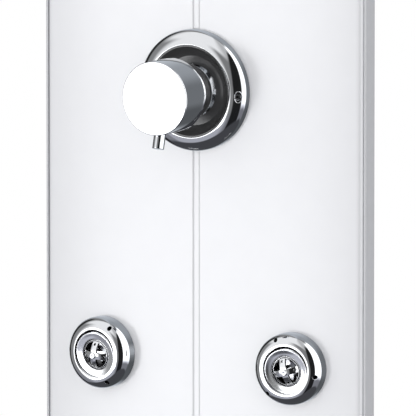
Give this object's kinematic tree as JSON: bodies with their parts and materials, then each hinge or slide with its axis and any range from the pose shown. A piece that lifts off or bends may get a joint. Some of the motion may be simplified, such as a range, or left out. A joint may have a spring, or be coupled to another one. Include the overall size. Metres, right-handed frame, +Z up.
{
  "type": "shower panel column",
  "caption": "Wall-hung white shower column with a single-lever mixer and two swivelling body jets, hung on hooked wall brackets.",
  "frame": {"origin": "centre of the four wall screw holes, on the wall's surface", "axes": "+Z up, +Y into the wall, +X to the right seen from the front"},
  "size_m": [0.25, 0.1097, 1.2],
  "materials": {
    "panel_white": "white moulded ABS front panel, gloss",
    "cap_white": "white moulded end caps, gloss",
    "rail_white": "white powder-coated aluminium side rails, satin",
    "bracket_steel": "zinc-plated pressed steel brackets and plates",
    "screw_steel": "stainless steel screws",
    "valve_brass": "cast brass valve and jet bodies",
    "chrome": "polished chrome-plated brass",
    "sleeve_dark": "dark clamp sleeve, gloss",
    "jet_chrome": "polished chrome-plated plastic",
    "cartridge_plastic": "grey moulded cartridge housing",
    "slip_ring": "off-white slippery plastic rings",
    "disc_ceramic": "lapped alumina discs",
    "seal_rubber": "black rubber gaskets",
    "hose_plastic": "reinforced plastic hose"
  },
  "bodies": {
    "column": {"front_panel": "panel_white", "side_rail_left": "rail_white", "side_rail_right": "rail_white", "top_cap": "cap_white", "bottom_cap": "cap_white", "cap_screws": "screw_steel", "panel_screws": "screw_steel", "plate_screws": "screw_steel", "wall_bracket_upper": "bracket_steel", "wall_bracket_lower": "bracket_steel", "hanging_plate_upper": "bracket_steel", "hanging_plate_lower": "bracket_steel", "mixer_body": "valve_brass", "hot_inlet_tail": "valve_brass", "cold_inlet_tail": "valve_brass", "check_valves": "slip_ring", "clamp_sleeve": "sleeve_dark", "escutcheon": "chrome", "escutcheon_screw": "screw_steel", "mixer_front_gasket": "seal_rubber", "mixer_back_gasket": "seal_rubber", "cartridge_body": "cartridge_plastic", "cartridge_nut": "valve_brass", "cartridge_retainer": "screw_steel", "fixed_disc": "disc_ceramic", "outlet_tee": "valve_brass", "jet_hose_left": "hose_plastic", "jet_hose_right": "hose_plastic", "hose_ferrules": "screw_steel", "jet_bezel_left": "chrome", "jet_body_left": "valve_brass", "jet_nut_left": "valve_brass", "jet_back_washer_left": "seal_rubber", "jet_front_seal_left": "seal_rubber", "jet_bezel_right": "chrome", "jet_body_right": "valve_brass", "jet_nut_right": "valve_brass", "jet_back_washer_right": "seal_rubber", "jet_front_seal_right": "seal_rubber"},
    "stem": {"stem_carrier": "cartridge_plastic", "pivot_pin": "screw_steel"},
    "disc": {"moving_disc": "disc_ceramic"},
    "knob": {"knob": "chrome", "knob_ball": "chrome", "lever_pin": "chrome", "lever_stem": "valve_brass", "knob_screw": "screw_steel"},
    "jet_seat_left": {"jet_seat_ring_left": "slip_ring"},
    "jet_eye_left": {"jet_nozzle_left": "jet_chrome", "spray_insert_left": "jet_chrome"},
    "jet_seat_right": {"jet_seat_ring_right": "slip_ring"},
    "jet_eye_right": {"jet_nozzle_right": "jet_chrome", "spray_insert_right": "jet_chrome"}
  },
  "joints": [
    {"name": "mixer_turn", "type": "hinge", "parent": "column", "child": "stem", "pos_m": [0, -0.072, 0.06], "axis": [0, -1, 0], "range_deg": [-50, 50]},
    {"name": "mixer_lift", "type": "hinge", "parent": "stem", "child": "knob", "pos_m": [0, -0.072, 0.06], "axis": [-1, 0, 0], "range_deg": [0, 25]},
    {"name": "disc_slide", "type": "slide", "parent": "stem", "child": "disc", "axis": [0, 0, 1], "range_m": [-0.004, 0]},
    {"name": "jet_turn_left", "type": "hinge", "parent": "column", "child": "jet_seat_left", "pos_m": [-0.07381, -0.0546, -0.1247], "axis": [-0.0973, -0.9953, 0], "continuous": true},
    {"name": "jet_tilt_left", "type": "hinge", "parent": "jet_seat_left", "child": "jet_eye_left", "pos_m": [-0.07381, -0.0546, -0.1247], "axis": [0.9953, -0.0973, 0], "range_deg": [-20, 10]},
    {"name": "jet_turn_right", "type": "hinge", "parent": "column", "child": "jet_seat_right", "pos_m": [0.07381, -0.0546, -0.1247], "axis": [0.0973, -0.9953, 0], "continuous": true},
    {"name": "jet_tilt_right", "type": "hinge", "parent": "jet_seat_right", "child": "jet_eye_right", "pos_m": [0.07381, -0.0546, -0.1247], "axis": [0.9953, 0.0973, 0], "range_deg": [-20, 10]}
  ],
  "couplings": [
    {"joint": "disc_slide", "follows": "mixer_lift", "m_per_rad": -0.0087171}
  ]
}
